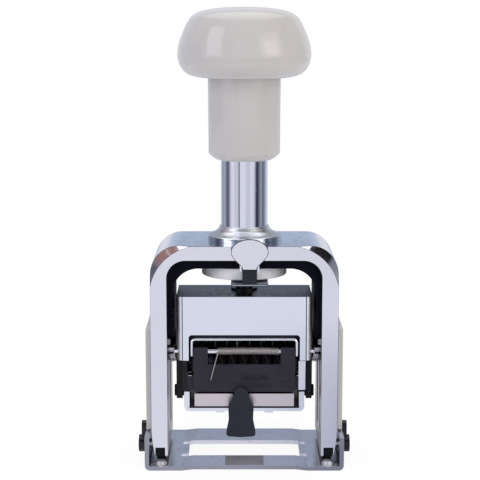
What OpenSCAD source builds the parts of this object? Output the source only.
// Hand numbering machine. A sprung handle drives a carriage of six number
// wheels down through an inverted-U frame, while the ink pad swings clear.
// Millimetres: X to the right, Y away from the front, Z up. The origin is
// on the table, under the barrel's axis.

/* [Frame] */
// Height of the frame's top face above the table
frame_top = 73.5; // [71:0.5:78]
// Width outside the legs
frame_w = 61.4; // [60:0.2:66]
// Thickness of a leg, seen from the front
leg_t = 5.4; // [5.2:0.1:6]
// Thickness of the top bar
bar_t = 4.7; // [4.2:0.1:5.5]
// Depth of the frame from front to back
frame_depth = 32.4; // [31:0.2:36]
// Radius of the outer top corners
corner_r = 9.5; // [8:0.5:13]
// Radius of the inner top corners
inner_r = 6; // [4.5:0.5:7]
// Height of the leg ends above the table
leg_end = 3; // [2.2:0.1:3.4]

/* [Guide liner] */
// Thickness of the liner's side walls
liner_t = 1.8; // [1.4:0.1:2]
// Thickness of the liner under the bar
liner_top_t = 2.9; // [2:0.1:3.2]
// Height of the liner's rear ends
liner_end = 31; // [28:0.5:34]

/* [Base plate] */
// Width over the upturned sides
base_w = 65.2; // [65:0.1:70]
// Depth from front to back
base_depth = 39.6; // [36:0.2:42]
// How far the plate's middle lies in front of the barrel's axis
base_ahead = 2.1; // [0:0.1:2.5]
// Sheet thickness
base_t = 1.4; // [1:0.1:1.5]
// Height of the upturned sides
flange_h = 11.2; // [10.5:0.1:11.5]
// How far the middle is pressed up off the table
joggle = 0.45; // [0.2:0.05:0.7]
// Width of the printing window
window_w = 37.4; // [34:0.2:38]
// Depth of the printing window
window_depth = 16; // [14:0.1:16.5]

/* [Side covers] */
// Thickness of the plastic covers
cover_t = 1.75; // [1.4:0.05:2.1]
// Height of the covers' upper ends
cover_top = 47; // [44:0.2:52]

/* [Handle] */
// Widest diameter of the knob
knob_d = 43.9; // [40:0.1:48]
// Height of the knob's top above the table
handle_top = 150; // [149:0.5:156]
// Outside diameter of the sleeve
sleeve_d = 24; // [22:0.1:26]
// Height of the sleeve's lower edge above the table
sleeve_end = 100.2; // [100:0.2:104]
// Outside diameter of the barrel
barrel_d = 15.5; // [15:0.1:16.5]
// Wall of the barrel
barrel_wall = 1.2; // [1:0.1:1.4]
// Height of the barrel's top
barrel_top = 112; // [108:0.5:114]
// Diameter of the flange ring on the frame
flange_d = 24.5; // [22:0.1:26]
// Diameter of the plunger rod
rod_d = 6; // [5:0.1:6.4]

/* [Wheels] */
// Distance from one wheel to the next
wheel_pitch = 3.8; // [3.6:0.05:3.9]
// Radius over the raised type
type_r = 10.2; // [9.8:0.1:10.3]
// Diameter of the wheel shaft
shaft_d = 5; // [4:0.1:5.5]
// How far the wheels sit right of the middle
wheels_x = 1.3; // [0:0.1:1.5]

/* [Carriage] */
// Press travel: the type reaches the paper
travel = 21.6; // [20:0.1:21.6]
// Width of the chromed housing
housing_w = 44.6; // [44:0.1:45]
// Sheet thickness of the housing
housing_t = 0.8; // [0.6:0.05:0.9]
// Depth of the housing
housing_depth = 20; // [18:0.5:22]
// Height of the housing's top
housing_top = 56.5; // [54:0.5:57]
// Thickness of the black side plates
side_t = 1.6; // [1.2:0.1:1.8]

/* [Ink pad] */
// Width of the cradle that carries the pad case
cradle_w = 40; // [39:0.1:40.6]
// Sheet thickness of the cradle
cradle_t = 1.8; // [1.4:0.1:1.9]
// Width of the pad case
case_w = 33.1; // [31:0.1:34.5]
// Depth of the pad case
case_depth = 16.2; // [15:0.1:16.2]
// Angle that the pad swings forward over the full press
swing = 95; // [90:1:95]
// Width of the pad's pull tab at its lower end
tab_w = 9.7; // [8:0.1:12]

/* [Hidden] */
// The machine prints numbers of six figures
wheel_count = 6;
$fn = 64;

// clearances
fixed_gap = 0.02;  // pieces pressed or screwed together
run_gap = 0.05;    // a shaft turning in its bore
slide_gap = 0.1;   // a piece sliding in its guide
free_gap = 0.3;    // pieces that pass without touching

// Frame, in the XZ plane
frame_half = frame_w / 2;
frame_front = -frame_depth / 2;
leg_in = frame_half - leg_t;
bar_low = frame_top - bar_t;
foot_flare = 1.15;      // how far the leg ends draw in
foot_flare_h = 9.6;     // height over which they draw in
bevel = 2.6;            // bevel on the front corners at its widest
pocket_depth = leg_t - 1.6;
pocket_half = 12.5;
pocket_low = flange_h + 2.6;
pocket_high = cover_top - 1.8;
liner_half = leg_in - liner_t;
liner_low = bar_low - liner_top_t;
liner_front = -14.3;
liner_corner_r = 8.5;

// Handle
barrel_r = barrel_d / 2;
barrel_bore = barrel_r - barrel_wall;
flange_rim_h = 1.8;
flange_h_total = 4.8;
rod_r = rod_d / 2;
rod_relief = 1;         // depth of the flat that the lock slide works in
sleeve_top = 137;
knob_low = 127;
seat_h = 5;
spring_low = bar_low + seat_h;
collar_h = 2.5;
spring_high = barrel_top - collar_h - 1.5;
washer_r = 14.25;
washer_low = liner_low - 4;
insert_r = 4.5;
insert_top = sleeve_top + 8;

// Base
base_half = base_w / 2;
base_front = -base_ahead - base_depth / 2;
base_back = base_depth / 2 - base_ahead;
base_bend = 1.7;
window_y = -3.7;
window_front = window_y - window_depth / 2;
panel_x = 0.5;
panel_half = 6;
foot_x = 16.8;          // where the raised middle is level
foot_ramp = 3.8;        // the slope down to the flat ends
notch_r = 1.6;
screw_r = 1.15;
screw_head_r = 2.1;
screw_head_h = 1;
screw_x = leg_in + 2.2;
screw_y = base_front + screw_head_r + 1.4;

// Catches
catch_y = -9;
catch_z = 5.3;
catch_r = 2.9;
catch_t = 2.6;
catch_x = base_half + 0.15;
catch_tab_h = 13.2;
catch_pin_r = 1.5;

// Wheels: the type's lowest point is one press above the table
wheel_y = -2.4;
wheel_z = travel + type_r;
shaft_r = shaft_d / 2;
type_h = 0.6;
type_block_h = 0.9;
type_disc_t = 2.9;
ratchet_t = 0.6;
ratchet_r = 8.2;
ratchet_depth = 0.9;
digits = 10;
type_block_w = 4.3;
pack_half = wheel_count * wheel_pitch / 2;

// Carriage
housing_half = housing_w / 2;
housing_front = -14;
housing_back = housing_front + housing_depth;
housing_low = 35;
housing_bend = 2.4;
opening_half = 18.25;
opening_top = 43.6;
pivot_y = -9;
pivot_z = wheel_z + 5.2;
wall_notch_z = pivot_z + 2.8;   // the housing's walls end here, above the arms
liner_front_end = wall_notch_z + 4;
side_gap = 1;           // between the housing's walls and the side plates
side_out = housing_half - housing_t - side_gap;
side_in = side_out - side_t;
side_low = 24.7;
side_back = housing_back - 0.3;
guide_y = 4;
guide_z = wheel_z + 0.8;
guide_r = 2.45;
guide_pin_r = 1.5;
guide_end = leg_in + 2.9;
slot_end = leg_in + 3.4;
plate_front = housing_front + 0.1;
plate_t = 0.8;
plate_half = 16.8;
plate_low = 24.4;
plate_top = 39.3;
side_front = plate_front + plate_t + 0.2;
spring_z = 37.9;
spring_y = -12.6;
spring_pin_r = 0.8;
coil_r = 1.3;
coil_wire = 0.4;
coil_left = -9;
coil_right = 11.75;
plate_slot_half = 12;
lug_x = 12.9;
lug_t = 1.4;
plate_slot_low = 33.7;
bail_r = 0.45;
bail_z = 42.1;
bail_half = 17.3;
drum_r = 8.6;
drum_end = side_in - 1.3;
back_plate_low = wheel_z + sqrt(pow(type_r + free_gap, 2) - pow(side_back - plate_t - wheel_y, 2));
foot_r = 4.5;
foot_t = 0.6;
detent_y = -8.5;
detent_z = wheel_z + 14.7;
detent_r = 1;
// where the fingers meet the ratchets, and their half width at the root
detent_angle = 150;
detent_root = 1.2;
detent_half = side_in - free_gap;
// the web's lower edge passes over the type
detent_web_low = wheel_z + sqrt(pow(type_r + free_gap, 2) - pow(detent_y + 0.5 - wheel_y, 2));
drive_lead = 14;
drive_root = 1.2;
pawl_gap = 0.35;
tie_r = 1.5;
tie_z = 50;
tie_ys = [-4.5, 3.5];
back_plate_top = tie_z - 2.6;
house_screw_z = 51.8;
house_screw_r = 1;
house_head_r = 2.1;

// Yoke
yoke_t = 1.2;
yoke_r = 12.4;
yoke_bar = 1.8;
yoke_angle = -8;
yoke_left = wheels_x - pack_half - 1.1;
yoke_right = wheels_x + pack_half + 1.1;

// Pad
rivet_head_t = 0.8;
arm_in = cradle_w / 2 + rivet_head_t;
arm_t = 2;
arm_half = 1.9;
arm_hub_r = 2;
elbow_y = -3.6;
rivet_z = 22.2;
cam_y = pivot_y + 4;
cam_r = 1.2;
cam_gap = 0.15;
cam_end = leg_in + 2.6;
cradle_half = cradle_w / 2;
cradle_low = 17.1;
cradle_high = 23.8;
cradle_front = -11.6;
cradle_back = -0.5;
cradle_bend = 1.7;
case_front = -12;
case_half = case_w / 2;
case_low = cradle_low + cradle_t;
case_front_top = 23.3;
case_back_top = 22.2;
case_wall = 0.7;
felt_top = travel - free_gap;
tab_x = -1.1;
tab_top = 26.3;
tab_fold = 20.3;
tab_low = 9.9;
tab_waist = 7.9;
tab_tip_w = 4.6;
tab_front = case_front - 5.5;
pivot_pin_r = 1.5;
rivet_r = 2;

// Lock slide
lock_x = 1.7;
lock_w = 12.1;
lock_neck = 4.8;
lock_t = 0.8;
lock_z = washer_low - 0.5 - lock_t;
lock_travel = 1.5;
thumb_front = -19;
thumb_t = 1;
thumb_z = frame_top - 1.4;
thumb_h = 4.2;
lock_tab_front = -17.4;
lock_tab_t = 1.4;
neck_low = bar_low - 2.5;
lock_fork_back = 8.5;

// Lays an outline drawn in XZ along Y, from y0 to y1
module along_y(y0, y1) {
    translate([0, y1, 0]) rotate([90, 0, 0]) linear_extrude(y1 - y0) children();
}

// Lays an outline drawn in YZ along X, from x0 to x1
module along_x(x0, x1) {
    translate([x0, 0, 0]) rotate([90, 0, 90]) linear_extrude(x1 - x0) children();
}

// A round bar or hole along X
module rod_x(y, z, r, x0, x1) {
    translate([x0, y, z]) rotate([0, 90, 0]) cylinder(r = r, h = x1 - x0);
}

// The same thing on the right and, mirrored, on the left
module both_sides() {
    children();
    mirror([1, 0, 0]) children();
}

module box(x0, x1, y0, y1, z0, z1) {
    translate([x0, y0, z0]) cube([x1 - x0, y1 - y0, z1 - z0]);
}

// An upright arch outline: half width w, top at z, down to low, corner r
module arch_2d(w, top, low, r) {
    translate([-w, low]) square([2 * w, top - low - r]);
    translate([r - w, low]) square([2 * (w - r), top - low]);
    for (x = [r - w, w - r]) translate([x, top - r]) circle(r);
}

// A bar with round ends in the YZ plane, from p to q
module link_2d(p, q, half) {
    run = norm(q - p);
    translate(p) circle(half);
    translate(q) circle(half);
    translate(p) rotate(atan2(q[1] - p[1], q[0] - p[0]))
        translate([0, -half]) square([run, 2 * half]);
}

// Points of a cubic curve from a to d, steered by b and c
function curve(a, b, c, d, n = 10) = [for (i = [1:n]) let (t = i / n)
    a * pow(1 - t, 3) + b * 3 * t * pow(1 - t, 2) + c * 3 * t * t * (1 - t) + d * pow(t, 3)];

// Where the cam pin is, in YZ, when the press is at share u of its travel
function cam_at(u) = [
    pivot_y + (cam_y - pivot_y) * cos(swing * u),
    pivot_z - travel * u - (cam_y - pivot_y) * sin(swing * u)];

// A unit vector square to the cam pin's path
function cam_side(u) = let (d = cam_at(u + 0.01) - cam_at(u - 0.01)) [-d[1], d[0]] / norm(d);

module cam_track_2d(half) {
    steps = 24;
    polygon(concat(
        [for (i = [0:steps]) cam_at(i / steps) + half * cam_side(i / steps)],
        [for (i = [steps:-1:0]) cam_at(i / steps) - half * cam_side(i / steps)]));
    for (u = [0, 1]) translate(cam_at(u)) circle(half);
}

// Wire wound round the Z axis, as one swept tube
module coil(r, wire_r, turns, z0, z1, sides = 6, per_turn = 10) {
    n = turns * per_turn;
    pts = [for (i = [0:n]) for (j = [0:sides - 1])
        let (a = 360 * i / per_turn, b = 360 * j / sides, q = r + wire_r * cos(b))
        [q * cos(a), q * sin(a), z0 + wire_r + (z1 - z0 - 2 * wire_r) * i / n + wire_r * sin(b)]];
    walls = [for (i = [0:n - 1]) for (j = [0:sides - 1])
        [i * sides + j, i * sides + (j + 1) % sides,
         (i + 1) * sides + (j + 1) % sides, (i + 1) * sides + j]];
    polyhedron(pts, concat(walls, [[for (j = [sides - 1:-1:0]) j]],
        [[for (j = [0:sides - 1]) n * sides + j]]));
}

// ---- fixed pieces ----

// A leg's outer edge draws in a little towards the table
module leg_end_cut_2d() {
    steps = 8;
    polygon(concat(
        [for (i = [0:steps]) let (h = foot_flare_h * (1 - i / steps))
            [frame_half - foot_flare * pow(1 - h / foot_flare_h, 2), leg_end + h]],
        [[frame_half - foot_flare, leg_end - 1], [frame_half + 1, leg_end - 1],
         [frame_half + 1, leg_end + foot_flare_h]]));
}

// The bevel on a front corner: widest at 45 degrees and gone at its ends.
// It lies outside a cone whose axis is set inwards from the corner's centre.
module corner_bevel() {
    inset = 1.1 * bevel / (1 - sqrt(0.5));
    cone_r = corner_r - bevel + inset;
    // middle of the bevel's arc, drawn in from the corner's own
    x = frame_half - corner_r - inset * sqrt(0.5);
    z = frame_top - corner_r - inset * sqrt(0.5);
    intersection() {
        box(x, frame_half + 1, frame_front - 1, frame_front + bevel, z, frame_top + 1);
        translate([x, frame_front, z]) rotate([-90, 0, 0]) difference() {
            translate([0, 0, -1]) cylinder(r = cone_r + 3 * bevel, h = bevel + 1);
            translate([0, 0, -1]) cylinder(r1 = cone_r - 1, r2 = cone_r + bevel + 1, h = bevel + 2);
        }
    }
}

module leg_cuts() {
    // pocket behind the side cover
    box(frame_half - pocket_depth, frame_half + 1, -pocket_half, pocket_half, pocket_low, pocket_high);
    // guide slot
    along_x(leg_in - 1, slot_end) link_2d([guide_y, guide_z + slide_gap],
        [guide_y, guide_z - travel - slide_gap], guide_r + slide_gap);
    // cam slot
    along_x(leg_in - 1, slot_end) cam_track_2d(cam_r + cam_gap);
    // catch pin
    rod_x(catch_y, catch_z, catch_pin_r + fixed_gap, frame_half - 2.2, frame_half + 1);
    // notch in the front of the foot
    box(leg_in + 1, frame_half - 1.3, frame_front - 1, frame_front + 2.4, leg_end - 1, leg_end + 2.9);
}

module frame() color([0.82, 0.84, 0.9]) difference() {
    along_y(frame_front, -frame_front) difference() {
        arch_2d(frame_half, frame_top, leg_end, corner_r);
        arch_2d(leg_in, bar_low, leg_end - 1, inner_r);
        leg_end_cut_2d();
        mirror([1, 0]) leg_end_cut_2d();
    }
    both_sides() leg_cuts();
    both_sides() corner_bevel();
    translate([0, 0, bar_low - 1]) cylinder(r = barrel_r + fixed_gap, h = bar_t + 2);
}

module guide_liner() color([0.08, 0.08, 0.1]) difference() {
    along_y(liner_front, -liner_front) difference() {
        arch_2d(leg_in - fixed_gap, bar_low - fixed_gap, liner_end, inner_r + 0.5);
        arch_2d(liner_half, liner_low, liner_end - 1, liner_corner_r);
    }
    both_sides() {
        box(liner_half - 1, leg_in + 1, -11, 7, liner_end - 1, wall_notch_z + 1.7);
        // the front ends stop higher up
        box(liner_half - 1, leg_in + 1, liner_front - 1, -10.9, liner_end - 1, liner_front_end);
    }
    translate([0, 0, liner_low - 1]) cylinder(r = barrel_r + 1, h = liner_top_t + 2);
}

module barrel() color([0.8, 0.82, 0.87]) difference() {
    translate([0, 0, bar_low]) cylinder(r = barrel_r, h = barrel_top - bar_low);
    translate([0, 0, bar_low - 1]) cylinder(r = barrel_bore, h = barrel_top - bar_low + 2);
}

// Flange: a flat rim that sweeps up to the barrel in a hollow curve
module barrel_flange() color([0.8, 0.82, 0.87]) translate([0, 0, frame_top]) rotate_extrude() {
    rim_r = flange_d / 2;
    throat_r = barrel_r + 0.5;
    polygon(concat(
        [[barrel_r + fixed_gap, 0], [rim_r, 0], [rim_r, flange_rim_h - 0.3], [rim_r - 0.3, flange_rim_h]],
        curve([rim_r - 0.3, flange_rim_h], [throat_r + 2, flange_rim_h + 0.3],
            [throat_r + 0.5, flange_rim_h + 1.2], [throat_r, flange_h_total - 0.3], 8),
        [[throat_r - 0.3, flange_h_total], [barrel_r + fixed_gap, flange_h_total]]));
}

module cushion_washer() color([0.86, 0.86, 0.87]) difference() {
    translate([0, 0, washer_low]) cylinder(r = washer_r, h = liner_low - washer_low);
    translate([0, 0, washer_low - 1]) cylinder(r = rod_r + 1, h = liner_low - washer_low + 2);
}

module spring_seat() color([0.72, 0.6, 0.3]) translate([0, 0, bar_low]) difference() {
    cylinder(r = barrel_bore - fixed_gap, h = seat_h);
    translate([0, 0, -1]) cylinder(r = rod_r + run_gap, h = seat_h + 2);
}

module return_spring() color([0.6, 0.6, 0.62])
    coil((barrel_bore + rod_r) / 2, 0.55, 9, spring_low, spring_high, sides = 8, per_turn = 16);

module base_profile_2d() difference() {
    mirror([0, 1]) arch_2d(base_half, 0, -flange_h, base_bend);
    mirror([0, 1]) arch_2d(base_half - base_t, -base_t, -flange_h - 1, base_bend - base_t);
}

// The base's middle, pressed up off the table between two short slopes
module raised_middle_2d() {
    right = [[foot_x, 0], [foot_x + foot_ramp, -joggle], [foot_x + foot_ramp + 0.5, -joggle]];
    translate([0, joggle]) polygon(concat(
        [for (i = [2:-1:0]) [-right[i][0], right[i][1]]], right,
        [for (i = [2:-1:0]) right[i] + [0, base_t]],
        [for (i = [0:2]) [-right[i][0], right[i][1] + base_t]]));
}

module window_cut() {
    half = window_w / 2;
    box(-half, half, window_y - window_depth / 2, window_y + window_depth / 2, -1, 4);
    for (x = [-1, 1], y = [-1, 1])
        translate([x * (half + 1), window_y + y * (window_depth / 2 - notch_r), -1])
            cylinder(r = notch_r, h = 5);
}

module base_plate() color([0.75, 0.78, 0.86]) difference() {
    union() {
        difference() {
            along_y(base_front, base_back) base_profile_2d();
            box(-foot_x - foot_ramp, foot_x + foot_ramp, base_front - 1, base_back + 1, -1, base_t + 1);
        }
        along_y(base_front, base_back) raised_middle_2d();
    }
    window_cut();
    both_sides() rod_x(catch_y, catch_z, catch_pin_r + run_gap, base_half - 3, base_half + 1);
    both_sides() translate([screw_x, screw_y, -1]) cylinder(r = screw_r + run_gap, h = 4);
    // shallow blank panel on the front strip
    box(panel_x - panel_half, panel_x + panel_half, base_front + 1.2, window_front - 1.2,
        base_t + joggle - 0.2, base_t + joggle + 1);
}

module base_screws() color([0.8, 0.8, 0.84]) both_sides() translate([screw_x, screw_y, 0]) {
    translate([0, 0, 0.2]) cylinder(r = screw_r, h = base_t);
    translate([0, 0, base_t]) cylinder(r1 = screw_head_r, r2 = screw_head_r - 0.7, h = screw_head_h);
}

module leg_feet() color([0.05, 0.05, 0.06]) both_sides() {
    box(leg_in + 0.6, frame_half - 1.8, frame_front + 1.4, -frame_front - 0.8, base_t, leg_end);
    box(leg_in + 1.1, frame_half - 1.4, frame_front + 0.8, frame_front + 2.2, leg_end - 0.4, leg_end + 2.8);
}

// A plastic cover: an outer skin with a rim that drops into the leg's pocket
module side_cover() difference() {
    union() {
        along_x(frame_half, frame_half + cover_t) difference() {
            translate([-pocket_half - 2, flange_h + 0.5])
                square([2 * pocket_half + 4, cover_top - flange_h - 0.5]);
            for (side = [-1, 1]) translate([side * (pocket_half + 2), cover_top]) rotate(45)
                square(2.4, center = true);
        }
        box(frame_half - 1, frame_half, -pocket_half + slide_gap, pocket_half - slide_gap,
            pocket_low + slide_gap, pocket_high - slide_gap);
    }
    box(frame_half - 2, frame_half + 0.4, -pocket_half + 1.2, pocket_half - 1.2,
        pocket_low + 1.2, pocket_high - 1.2);
    // bevel along the upper edge
    translate([frame_half + cover_t, 0, cover_top]) rotate([0, -30, 0])
        cube([1.3, 2 * pocket_half + 6, 3], center = true);
}

module side_cover_left() color([0.68, 0.67, 0.64]) mirror([1, 0, 0]) side_cover();
module side_cover_right() color([0.68, 0.67, 0.64]) side_cover();

module catch_pins() color([0.6, 0.6, 0.62]) both_sides()
    rod_x(catch_y, catch_z, catch_pin_r, frame_half - 2.2, catch_x + catch_t - 0.4);

module base_catch() difference() {
    union() {
        rod_x(catch_y, catch_z, catch_r, catch_x, catch_x + catch_t);
        along_x(catch_x, catch_x + catch_t - 1) link_2d([catch_y, catch_z],
            [catch_y, catch_tab_h - 1.8], 1.8);
    }
    rod_x(catch_y, catch_z, catch_pin_r + run_gap, catch_x - 1, catch_x + catch_t + 1);
}

module base_catch_left() color([0.1, 0.1, 0.11]) mirror([1, 0, 0]) base_catch();
module base_catch_right() color([0.1, 0.1, 0.11]) base_catch();

module lock_guide() color([0.8, 0.82, 0.87]) {
    half = lock_neck / 2 + slide_gap;
    box(lock_x - half - 0.7, lock_x + half + 0.7, frame_front + 0.1, liner_front - 0.1,
        bar_low - 0.7, bar_low);
    for (x = [lock_x - half - 0.7, lock_x + half])
        box(x, x + 0.7, frame_front + 0.1, liner_front - 0.1, bar_low - 3.8, bar_low);
}

// Thumb plate outline: a wide oval that narrows to the neck
module thumb_2d() {
    low = bar_low - 1.7;
    half = lock_w / 2;
    right = concat(
        [for (a = [90:-10:0]) [half * cos(a), thumb_z + thumb_h * sin(a)]],
        curve([half, thumb_z], [half, thumb_z - 2], [lock_neck / 2 + 1, low + 1.2], [lock_neck / 2, low], 6));
    polygon(concat(right, [for (i = [len(right) - 1:-1:1]) [-right[i][0], right[i][1]]]));
}

module lock_slide() color([0.82, 0.84, 0.9]) translate([lock_x, 0, 0]) {
    neck = lock_neck / 2;
    along_y(thumb_front, thumb_front + thumb_t) thumb_2d();
    box(-neck, neck, thumb_front, lock_tab_front + lock_tab_t, neck_low, neck_low + lock_t);
    difference() {
        box(-lock_w / 2, lock_w / 2, lock_tab_front, lock_fork_back, lock_z, lock_z + lock_t);
        translate([-lock_x, 0, 0]) {
            reach = rod_r + free_gap;
            translate([0, -lock_travel, lock_z - 1]) cylinder(r = reach, h = lock_t + 2);
            box(-reach, reach, -lock_travel, rod_r - rod_relief + free_gap, lock_z - 1, lock_z + lock_t + 1);
        }
    }
}

// The block under the thumb plate, which carries the fork plate
module lock_tab() color([0.08, 0.08, 0.1])
    box(lock_x - lock_neck / 2, lock_x + lock_neck / 2, lock_tab_front, lock_tab_front + lock_tab_t,
        lock_z + lock_t, neck_low);

// ---- handle and plunger ----

function knob_outline() = let (r = knob_d / 2, z = handle_top) concat(
    [[0, z]],
    curve([0, z], [5, z], [r - 12.4, z - 0.3], [r - 9.3, z - 1], 8),
    curve([r - 9.3, z - 1], [r - 6.5, z - 1.63], [r - 4.7, z - 2.7], [r - 3.8, z - 4.2], 8),
    curve([r - 3.8, z - 4.2], [r - 2.5, z - 6.4], [r, z - 11.3], [r, z - 15.4], 8),
    curve([r, z - 15.4], [r, z - 18.4], [r - 1.6, z - 21], [r - 3.8, knob_low + 1.1], 8),
    curve([r - 3.8, knob_low + 1.1], [r - 5.5, knob_low + 0.4], [r - 8, knob_low], [r - 9.9, knob_low], 5));

module handle_knob() color([0.8, 0.79, 0.79]) difference() {
    rotate_extrude() polygon(concat(knob_outline(), [[0, knob_low]]));
    translate([0, 0, knob_low - 1]) cylinder(r = sleeve_d / 2 + fixed_gap, h = sleeve_top - knob_low + 1);
    translate([0, 0, sleeve_top - 1]) cylinder(r = insert_r + fixed_gap, h = insert_top - sleeve_top + 1);
}

module knob_insert() color([0.78, 0.62, 0.28]) difference() {
    translate([0, 0, sleeve_top]) cylinder(r = insert_r, h = insert_top - sleeve_top);
    translate([0, 0, sleeve_top - 1]) cylinder(r = rod_r + fixed_gap, h = insert_top - sleeve_top);
}

module handle_sleeve() color([0.78, 0.77, 0.77]) {
    r = sleeve_d / 2;
    chamfer_h = 1.9;
    bore = barrel_r + slide_gap;
    rotate_extrude() polygon([
        [bore, sleeve_end], [r - 3, sleeve_end], [r - 0.15, sleeve_end + chamfer_h],
        [r, knob_low], [r, sleeve_top], [bore, sleeve_top]]);
}

module plunger_rod() color([0.75, 0.76, 0.8]) {
    difference() {
        union() {
            translate([0, 0, housing_top - 3.2]) cylinder(r = rod_r, h = insert_top - 1 - housing_top + 3.2);
            translate([0, 0, housing_top]) cylinder(r = foot_r, h = foot_t);
        }
        // relief that the lock slide's rear edge runs in
        box(-rod_r, rod_r, rod_r - rod_relief, rod_r + 1, lock_z - 0.4, lock_z + lock_t + travel + 0.6);
    }
}

module spring_collar() color([0.72, 0.6, 0.3]) translate([0, 0, spring_high]) difference() {
    cylinder(r = barrel_bore - slide_gap, h = collar_h);
    translate([0, 0, -1]) cylinder(r = rod_r + fixed_gap, h = collar_h + 2);
}

module plunger_nut() color([0.7, 0.7, 0.72]) translate([0, 0, housing_top - 3]) difference() {
    cylinder(r = 5.2, h = 3 - housing_t, $fn = 6);
    translate([0, 0, -1]) cylinder(r = rod_r + fixed_gap, h = 4);
}

// ---- carriage ----

module housing_plan_2d(half, front) {
    r = housing_bend - (housing_half - half);
    translate([-half, front + r]) square([2 * half, housing_back - front - r]);
    translate([r - half, front]) square([2 * (half - r), housing_back - front]);
    for (x = [r - half, half - r]) translate([x, front + r]) circle(r);
}

module wheel_housing() color([0.84, 0.86, 0.92]) {
    difference() {
        translate([0, 0, housing_low]) linear_extrude(housing_top - housing_low)
            housing_plan_2d(housing_half, housing_front);
        translate([0, 0, housing_low - 1]) linear_extrude(housing_top - housing_low + 1 - housing_t)
            housing_plan_2d(housing_half - housing_t, housing_front + housing_t);
        box(-housing_half + housing_t, housing_half - housing_t, housing_back - 1, housing_back + 1,
            housing_low - 1, housing_top - housing_t);
        // front opening
        along_y(housing_front - 1, housing_front + housing_bend)
            arch_2d(opening_half, opening_top, housing_low - 1, 1);
        // the walls stop above the pad arms
        box(-housing_half - 1, housing_half + 1, pivot_y - arm_hub_r - 0.6, housing_back + 1,
            housing_low - 1, wall_notch_z);
        // plunger and side screws
        translate([0, 0, housing_top - housing_t - 1]) cylinder(r = rod_r + fixed_gap, h = housing_t + 2);
        both_sides() rod_x(0, house_screw_z, house_screw_r + fixed_gap, housing_half - 2, housing_half + 1);
    }
    both_sides() box(housing_half - 0.4, housing_half + 0.8, housing_front + 0.6, housing_front + 2.2,
        housing_low + 2.6, housing_low + 3.6);
}

module housing_screws() color([0.8, 0.8, 0.84]) both_sides() {
    rod_x(0, house_screw_z, house_screw_r, side_in, housing_half);
    rod_x(0, house_screw_z, house_head_r, side_out, housing_half - housing_t);
    rod_x(0, house_screw_z, house_head_r, housing_half, housing_half + 0.7);
}

module side_plate() along_x(side_in, side_out) difference() {
    top = housing_top - housing_t - 0.2;
    front = housing_front + housing_t + 0.4;
    polygon([[side_front, side_low], [side_back, side_low], [side_back, top], [front, top],
        [front, side_low + 8]]);
    translate([wheel_y, wheel_z]) circle(shaft_r + fixed_gap);
    translate([guide_y, guide_z]) circle(guide_pin_r + fixed_gap);
    translate([pivot_y, pivot_z]) circle(pivot_pin_r + fixed_gap);
    translate([detent_y, detent_z]) circle(detent_r + fixed_gap);
    for (y = tie_ys) translate([y, tie_z]) circle(tie_r + fixed_gap);
    translate([0, house_screw_z]) circle(house_screw_r + fixed_gap);
}

module side_plate_left() color([0.09, 0.09, 0.1]) mirror([1, 0, 0]) side_plate();
module side_plate_right() color([0.09, 0.09, 0.1]) side_plate();

module tie_bars() color([0.6, 0.6, 0.62]) for (y = tie_ys) {
    rod_x(y, tie_z, tie_r, -side_out, side_out);
    rod_x(y, tie_z, tie_r + 0.8, -side_in, side_in);
}

module main_shaft() color([0.7, 0.7, 0.73]) rod_x(wheel_y, wheel_z, shaft_r, -side_out, side_out);

// Tubes that fill the shaft between the yoke's arms and the wheels
module shaft_spacers() color([0.6, 0.6, 0.62])
    for (span = [[yoke_left + yoke_t / 2, wheels_x - pack_half],
                 [wheels_x + pack_half, yoke_right - yoke_t / 2]])
        difference() {
            rod_x(wheel_y, wheel_z, drum_r, span[0] + run_gap, span[1] - run_gap);
            rod_x(wheel_y, wheel_z, shaft_r + fixed_gap, span[0] - 1, span[1] + 1);
        }

// Drums that fill the case beside the wheels, narrowed to a hub where the cradle's ends pass
module cheek_drums() color([0.1, 0.1, 0.11])
    for (span = [[-side_in, -drum_end, yoke_left - yoke_t / 2],
                 [side_in, drum_end, yoke_right + yoke_t / 2]])
        difference() {
            union() {
                rod_x(wheel_y, wheel_z, drum_r, min(span[1], span[2]) + run_gap,
                    max(span[1], span[2]) - run_gap);
                rod_x(wheel_y, wheel_z, shaft_r + 1.2, min(span[0], span[2]) + run_gap,
                    max(span[0], span[2]) - run_gap);
            }
            rod_x(wheel_y, wheel_z, shaft_r + fixed_gap, -side_out, side_out);
        }

// Closes the back of the case above the wheels, with a wing down each side plate
module back_plate() color([0.1, 0.1, 0.11]) {
    box(-side_in, side_in, side_back - plate_t, side_back, back_plate_low, back_plate_top);
    both_sides() box(drum_end + run_gap, side_in, side_back - plate_t, side_back,
        side_low + 0.1, back_plate_low + 1);
}

module guide_pins() color([0.55, 0.56, 0.58]) both_sides() {
    rod_x(guide_y, guide_z, guide_pin_r, side_in, side_out);
    rod_x(guide_y, guide_z, guide_r, side_out, guide_end);
}

module front_plate() color([0.2, 0.2, 0.23]) difference() {
    union() {
        box(-plate_half, plate_half, plate_front, plate_front + plate_t, plate_low, plate_top);
        // wings that meet the side plates
        both_sides() box(plate_half - 1, side_in, plate_front + plate_t, plate_front + plate_t + 1,
            plate_low + 0.4, plate_low + 5);
        both_sides() box(plate_half - 1, plate_half, plate_front, plate_front + plate_t + 1,
            plate_low + 0.4, plate_low + 5);
        // lugs for the spring pin
        both_sides() box(lug_x, lug_x + lug_t, plate_front, spring_y + 1.3,
            spring_z - 1.3, spring_z + 1.3);
    }
    box(-plate_slot_half, plate_slot_half, plate_front - 1, plate_front + plate_t + 1,
        plate_slot_low, plate_top + 1);
    rod_x(spring_y, spring_z, spring_pin_r + fixed_gap, -plate_half, plate_half);
}

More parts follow.
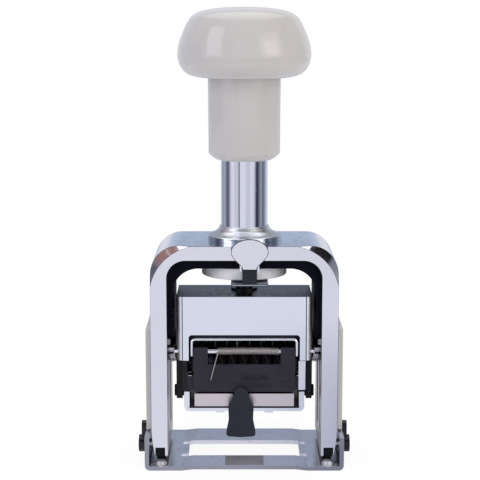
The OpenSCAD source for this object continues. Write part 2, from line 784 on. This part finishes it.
module plate_clip() color([0.8, 0.82, 0.87])
    box(bail_half + bail_r + 0.15, side_out - 0.3, plate_front + 0.35, plate_front + plate_t - 0.05,
        plate_low + 0.6, housing_low - 0.2);

module spring_pin() color([0.85, 0.86, 0.9])
    rod_x(spring_y, spring_z, spring_pin_r, -lug_x - lug_t, lug_x + lug_t);

module plate_spring() color([0.6, 0.58, 0.54]) {
    translate([0, spring_y, spring_z]) rotate([0, 90, 0])
        coil(coil_r - coil_wire / 2, coil_wire / 2, 27, coil_left, coil_right);
    // the free leg lies down the front of the plate
    leg = [[coil_left + 0.1, plate_front - 0.25, spring_z - 0.3], [-11.1, plate_front - 0.25, 28.3]];
    run = leg[1] - leg[0];
    translate(leg[0]) rotate([0, acos(run[2] / norm(run)), atan2(run[1], run[0])])
        cylinder(r = coil_wire / 2, h = norm(run), $fn = 16);
}

module wire_bail() color([0.8, 0.82, 0.87]) translate([0, plate_front + 0.5, 0]) {
    bend = 1.2;
    span = bail_half - bend;
    rod_x(0, bail_z, bail_r, -span, span);
    both_sides() {
        translate([bail_half, 0, housing_low + 1.5])
            cylinder(r = bail_r, h = bail_z - bend - housing_low - 1.5);
        translate([span, 0, bail_z - bend]) rotate([90, 0, 0])
            rotate_extrude(angle = 90) translate([bend, 0]) circle(bail_r);
    }
}

module detent_rod() color([0.6, 0.6, 0.62]) rod_x(detent_y, detent_z, detent_r, -side_out, side_out);

// Fingers that reach down between the type discs to the ratchets
module finger_2d(from, root, tip_r, tip_angle) {
    tip = [wheel_y, wheel_z] + tip_r * [cos(tip_angle), sin(tip_angle)];
    d = (tip - from) / norm(tip - from);
    side = [-d[1], d[0]];
    polygon([from + root * side, tip + 0.25 * side, tip - 0.25 * side, from - root * side]);
}

function wheel_x(i) = wheels_x + (i - (wheel_count - 1) / 2) * wheel_pitch;
function ratchet_x(i) = wheel_x(i) - wheel_pitch / 2 + run_gap;

module detent_pawls() color([0.45, 0.45, 0.47]) difference() {
    union() {
        rod_x(detent_y, detent_z, detent_r + 1, -detent_half, detent_half);
        box(-detent_half, detent_half, detent_y - 0.5, detent_y + 0.5, detent_web_low, detent_z);
        for (i = [0:wheel_count - 1])
            along_x(ratchet_x(i) + 0.2, ratchet_x(i) + 0.7)
                finger_2d([detent_y, detent_z], detent_root, ratchet_r + pawl_gap, detent_angle);
    }
    rod_x(detent_y, detent_z, detent_r + run_gap, -side_in, side_in);
}

function yoke_end() = [wheel_y + yoke_r * cos(yoke_angle), wheel_z + yoke_r * sin(yoke_angle)];

module drive_yoke() color([0.5, 0.5, 0.53]) difference() {
    for (x = [yoke_left, yoke_right])
        along_x(x - yoke_t / 2, x + yoke_t / 2) {
            translate([wheel_y, wheel_z]) circle(drum_r);
            link_2d([wheel_y, wheel_z], yoke_end(), 1.8);
        }
    rod_x(wheel_y, wheel_z, shaft_r + run_gap, yoke_left - 2, yoke_right + 2);
    rod_x(yoke_end()[0], yoke_end()[1], 0.9 + fixed_gap, yoke_left - 2, yoke_right + 2);
}

module drive_pawl_pin() color([0.7, 0.7, 0.73])
    rod_x(yoke_end()[0], yoke_end()[1], 0.9, yoke_left - yoke_t / 2, yoke_right + yoke_t / 2);

module drive_pawls() color([0.45, 0.45, 0.47]) difference() {
    union() {
        rod_x(yoke_end()[0], yoke_end()[1], 1.7, yoke_left + yoke_t / 2 + 0.1, yoke_right - yoke_t / 2 - 0.1);
        for (i = [0:wheel_count - 1])
            along_x(ratchet_x(i) + 0.2, ratchet_x(i) + 0.7)
                finger_2d(yoke_end(), drive_root, ratchet_r + pawl_gap, yoke_angle + drive_lead);
    }
    rod_x(yoke_end()[0], yoke_end()[1], 0.9 + fixed_gap, yoke_left, yoke_right);
}

// One type wheel: disc with ten raised blocks, and its ratchet on the left
module number_wheel(i) color([0.5, 0.5, 0.54]) difference() {
    x = wheel_x(i);
    disc_left = ratchet_x(i) + ratchet_t + 0.25;
    body_r = type_r - type_h - type_block_h;
    union() {
        rod_x(wheel_y, wheel_z, body_r, disc_left, disc_left + type_disc_t);
        for (k = [0:digits - 1])
            translate([disc_left, wheel_y, wheel_z]) rotate([360 * k / digits - 90, 0, 0])
                translate([0, body_r - 1, -type_block_w / 2])
                    cube([type_disc_t, type_block_h + 1, type_block_w]);
        along_x(ratchet_x(i) + ratchet_t * 0.4, disc_left) translate([wheel_y, wheel_z]) polygon([
            for (k = [0:digits - 1]) for (s = [0, 1]) let (a = 360 * (k + s * 0.8) / digits,
                q = ratchet_r - ratchet_depth * s) [q * cos(a), q * sin(a)]]);
        rod_x(wheel_y, wheel_z, ratchet_r - ratchet_depth, ratchet_x(i), disc_left + type_disc_t);
    }
    rod_x(wheel_y, wheel_z, shaft_r + run_gap, x - wheel_pitch, x + wheel_pitch);
}

// ---- ink pad ----

module pivot_screws() color([0.7, 0.7, 0.73]) both_sides() {
    rod_x(pivot_y, pivot_z, pivot_pin_r, side_in, arm_in + arm_t + 0.1);
    rod_x(pivot_y, pivot_z, pivot_pin_r + 0.45, arm_in + arm_t + 0.1, arm_in + arm_t + 0.6);
}

module pad_arm() difference() {
    along_x(arm_in, arm_in + arm_t) {
        translate([pivot_y, pivot_z]) circle(arm_hub_r + 0.3);
        link_2d([pivot_y, pivot_z], [elbow_y, pivot_z - 0.4], arm_half);
        link_2d([elbow_y, pivot_z - 0.4], [elbow_y, rivet_z - 1], arm_half);
    }
    rod_x(pivot_y, pivot_z, pivot_pin_r + run_gap, arm_in - 1, arm_in + arm_t + 1);
    rod_x(elbow_y, rivet_z, 1 + fixed_gap, arm_in - 1, arm_in + arm_t + 1);
    rod_x(cam_y, pivot_z, cam_r + fixed_gap, arm_in - 1, arm_in + arm_t + 1);
}

module pad_arm_left() color([0.1, 0.1, 0.11]) mirror([1, 0, 0]) pad_arm();
module pad_arm_right() color([0.1, 0.1, 0.11]) pad_arm();

module arm_rivets() color([0.15, 0.15, 0.16]) both_sides() {
    rod_x(elbow_y, rivet_z, 1, cradle_half - cradle_t, arm_in + arm_t);
    rod_x(elbow_y, rivet_z, rivet_r, cradle_half, arm_in);
    rod_x(elbow_y, rivet_z, rivet_r, arm_in + arm_t, arm_in + arm_t + 0.7);
}

module cam_pins() color([0.7, 0.7, 0.73]) both_sides()
    rod_x(cam_y, pivot_z, cam_r, arm_in, cam_end);

module pad_cradle() color([0.82, 0.84, 0.9]) difference() {
    union() {
        along_y(cradle_front, cradle_back) difference() {
            mirror([0, 1]) arch_2d(cradle_half, -cradle_low, -cradle_high, cradle_bend);
            translate([cradle_t - cradle_half, cradle_low + cradle_t])
                square([2 * (cradle_half - cradle_t), cradle_high]);
        }
        for (x = [-9.5, 6.8])
            box(x, x + 2.8, cradle_front, cradle_front + 3, cradle_low - 0.5, cradle_low + 0.5);
        // ears that keep the case in line
        both_sides() box(case_half + 0.25, cradle_half - cradle_t + 0.1, cradle_back - 1, cradle_back,
            cradle_low + cradle_t - 0.1, case_back_top);
    }
    // step along the top of the front hem
    box(cradle_bend - cradle_half, cradle_half - cradle_bend, cradle_front - 1, cradle_front + 0.25,
        cradle_low + 1.1, cradle_low + cradle_t + 0.05);
    both_sides() rod_x(elbow_y, rivet_z, 1 + fixed_gap, cradle_half - cradle_t - 1, cradle_half + 1);
}

module ink_pad_case() color([0.8, 0.75, 0.74]) {
    back = case_front + case_depth;
    inner = case_half - case_wall;
    box(-case_half, case_half, case_front, back, case_low, case_low + case_wall);
    box(-case_half, case_half, case_front, case_front + case_wall, case_low, case_front_top);
    box(-case_half, case_half, back - case_wall, back, case_low, case_back_top);
    both_sides() box(inner, case_half, case_front, back, case_low, case_back_top);
}

module ink_pad() color([0.12, 0.1, 0.2])
    box(-case_half + case_wall + 0.3, case_half - case_wall - 0.3, case_front + case_wall + 0.3,
        case_front + case_depth - case_wall - 0.3, case_low + case_wall, felt_top);

// Pull tab outlines: seen from the front, and from the side
module tab_front_2d() {
    r = tab_tip_w / 2;
    right = concat(
        [for (a = [90:-15:0]) [r * cos(a), tab_top - r + r * sin(a)]],
        [[tab_waist / 2 + 0.2, tab_fold], [tab_waist / 2 + 0.2, tab_fold - 1.5]],
        curve([tab_waist / 2, tab_fold - 3.5], [tab_waist / 2, tab_fold - 6], [tab_w / 2, tab_low + 3],
            [tab_w / 2, tab_low + 1], 6),
        [[tab_w / 2 - 0.6, tab_low + 0.3], [0, tab_low]]);
    polygon(concat(right, [for (i = [len(right) - 2:-1:1]) [-right[i][0], right[i][1]]]));
}

module tab_side_2d() polygon([
    [case_front, case_front_top], [case_front, case_low + 0.3], [case_front - 1.6, tab_fold - 2.4],
    [tab_front + 1.2, tab_low], [tab_front, tab_low], [tab_front + 1.1, tab_fold - 1.6],
    [tab_front + 0.6, tab_fold], [tab_front + 2.3, tab_top],
    [plate_front - 0.5, tab_top], [plate_front - 0.5, case_front_top]]);

module pad_handle() color([0.1, 0.1, 0.12]) translate([tab_x, 0, 0]) intersection() {
    along_y(tab_front - 1, case_front) tab_front_2d();
    along_x(-tab_w, tab_w) tab_side_2d();
}

frame();
guide_liner();
barrel();
barrel_flange();
cushion_washer();
spring_seat();
return_spring();
base_plate();
base_screws();
leg_feet();
side_cover_left();
side_cover_right();
catch_pins();
base_catch_left();
base_catch_right();
lock_guide();
lock_slide();
lock_tab();
handle_knob();
knob_insert();
handle_sleeve();
plunger_rod();
spring_collar();
plunger_nut();
wheel_housing();
housing_screws();
side_plate_left();
side_plate_right();
tie_bars();
main_shaft();
shaft_spacers();
cheek_drums();
back_plate();
guide_pins();
front_plate();
plate_clip();
spring_pin();
plate_spring();
wire_bail();
detent_rod();
detent_pawls();
drive_yoke();
drive_pawl_pin();
drive_pawls();
pivot_screws();
pad_arm_left();
pad_arm_right();
arm_rivets();
cam_pins();
pad_cradle();
ink_pad_case();
ink_pad();
pad_handle();
for (i = [0:wheel_count - 1])
    number_wheel(i);
